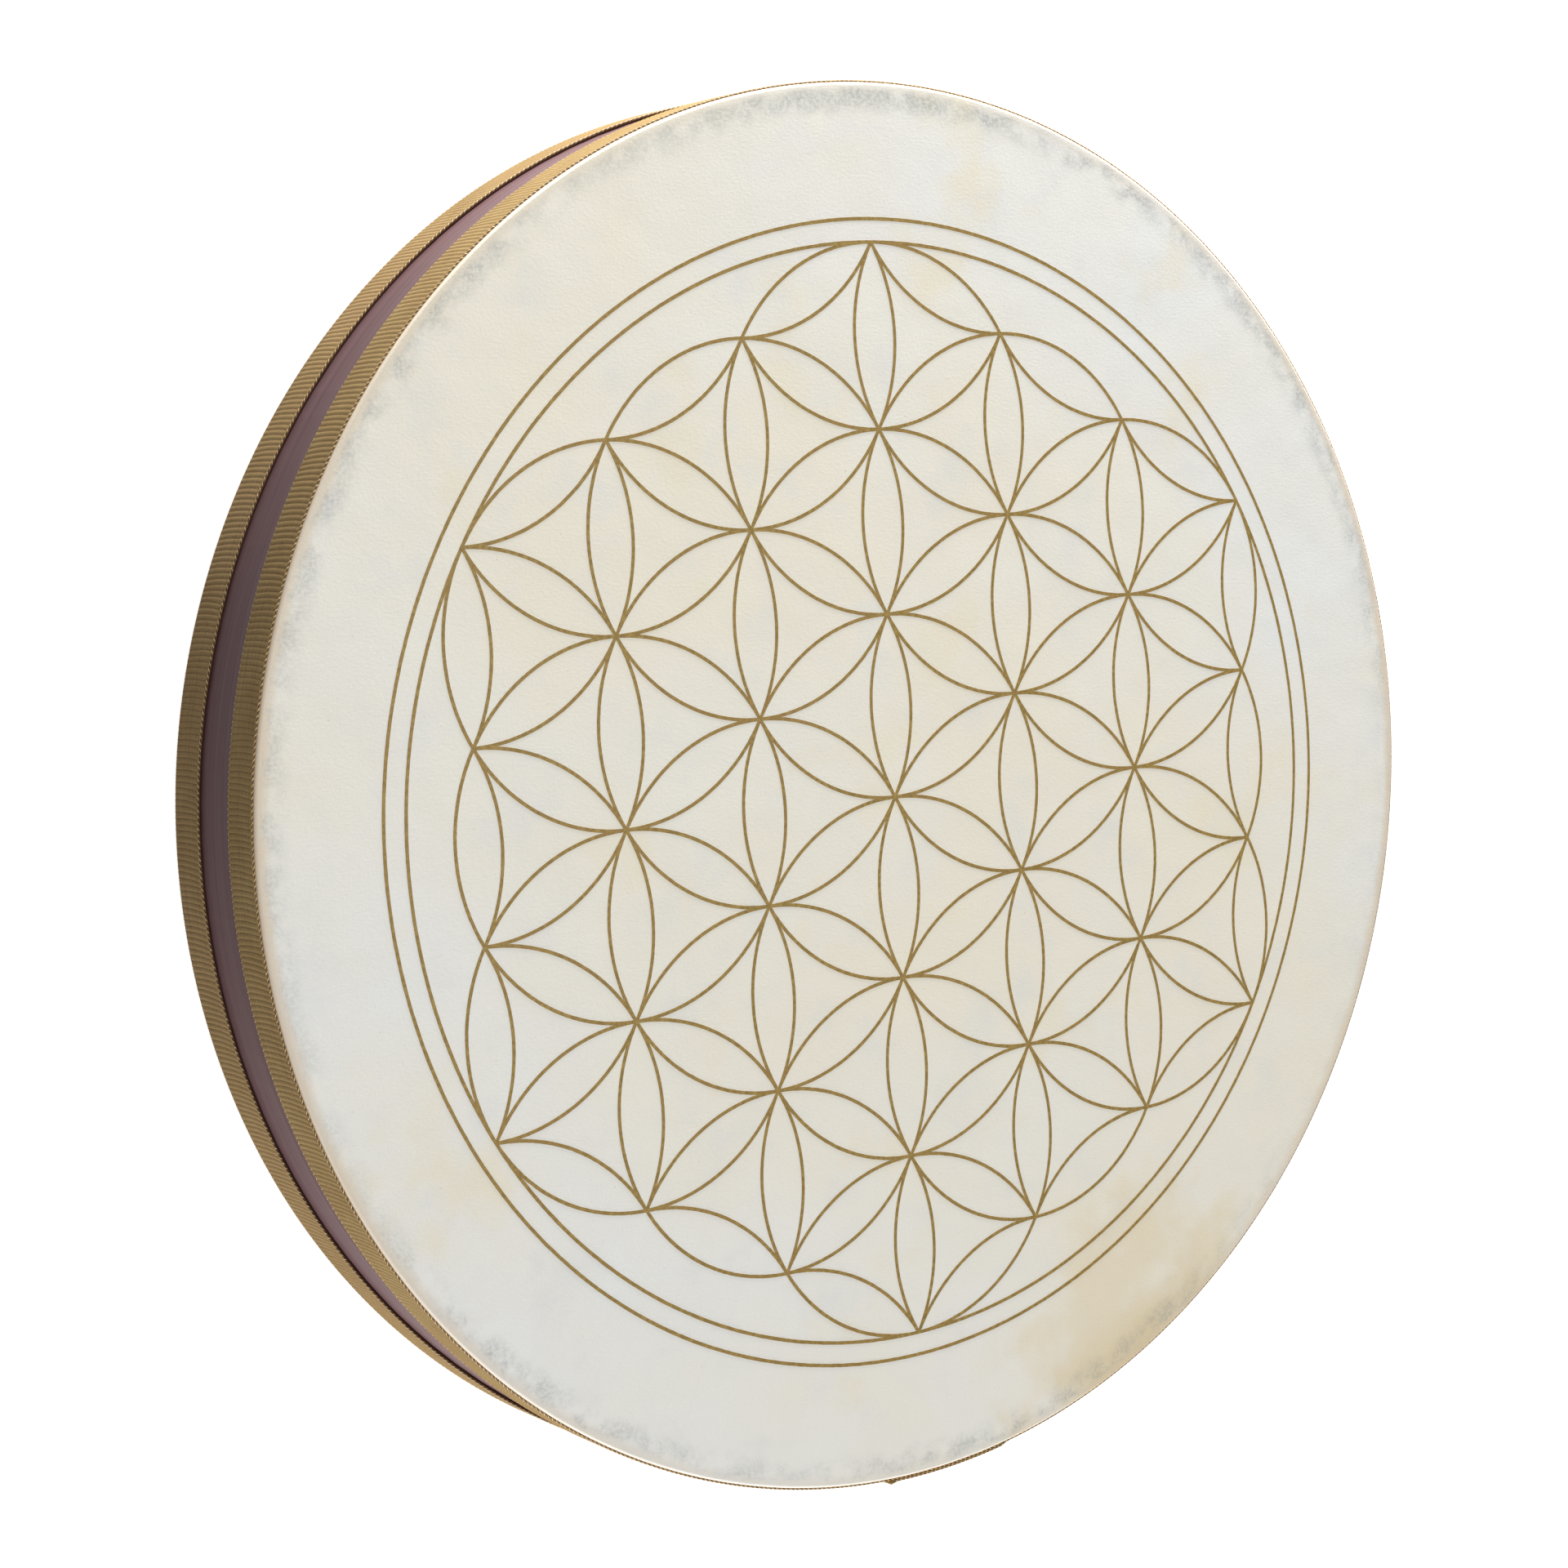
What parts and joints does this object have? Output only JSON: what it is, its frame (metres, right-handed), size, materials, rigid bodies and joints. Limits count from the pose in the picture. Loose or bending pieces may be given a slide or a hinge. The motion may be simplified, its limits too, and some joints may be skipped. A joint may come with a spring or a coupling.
{
  "type": "frame drum",
  "caption": "Shallow double-headed frame drum with braided rims, a printed line rosette and loose steel balls that roll inside.",
  "frame": {"origin": "on the drum's axis, at the flat outer face of the rear head that it rests on", "axes": "+Z along the drum's axis towards the printed front head, +Y towards the upper point of the rosette"},
  "size_m": [0.5016, 0.5028, 0.0601],
  "materials": {
    "stained_wood": "stained, satin lacquer",
    "core_wood": "bare veneer",
    "bare_wood": "bare, sanded",
    "front_hide": "pale rawhide, matt",
    "rear_hide": "pale rawhide, matt",
    "braid": "ribbed woven ribbon",
    "staple_wire": "galvanised wire",
    "gold_ink": "flat printed ink",
    "ball_steel": "bright ground steel"
  },
  "bodies": {
    "drum": {"outer_ply": "stained_wood", "core_ply": "core_wood", "inner_ply": "bare_wood", "front_head": "front_hide", "rear_head": "rear_hide", "front_braid": "braid", "rear_braid": "braid", "front_staples": "staple_wire", "rear_staples": "staple_wire", "rosette_print": "gold_ink"},
    "hub_ring": {"hub_balls": "ball_steel"},
    "inner_ring": {"inner_balls": "ball_steel"},
    "outer_ring": {"outer_balls": "ball_steel"},
    "rim_ring": {"rim_balls": "ball_steel"}
  },
  "joints": [
    {"name": "hub_swirl", "type": "hinge", "parent": "drum", "child": "hub_ring", "pos_m": [0, 0, 0.0033], "axis": [0, 0, 1], "continuous": true},
    {"name": "inner_swirl", "type": "hinge", "parent": "drum", "child": "inner_ring", "pos_m": [0, 0, 0.0033], "axis": [0, 0, 1], "continuous": true},
    {"name": "outer_swirl", "type": "hinge", "parent": "drum", "child": "outer_ring", "pos_m": [0, 0, 0.0033], "axis": [0, 0, 1], "continuous": true},
    {"name": "rim_swirl", "type": "hinge", "parent": "drum", "child": "rim_ring", "pos_m": [0, 0, 0.0033], "axis": [0, 0, 1], "continuous": true}
  ]
}
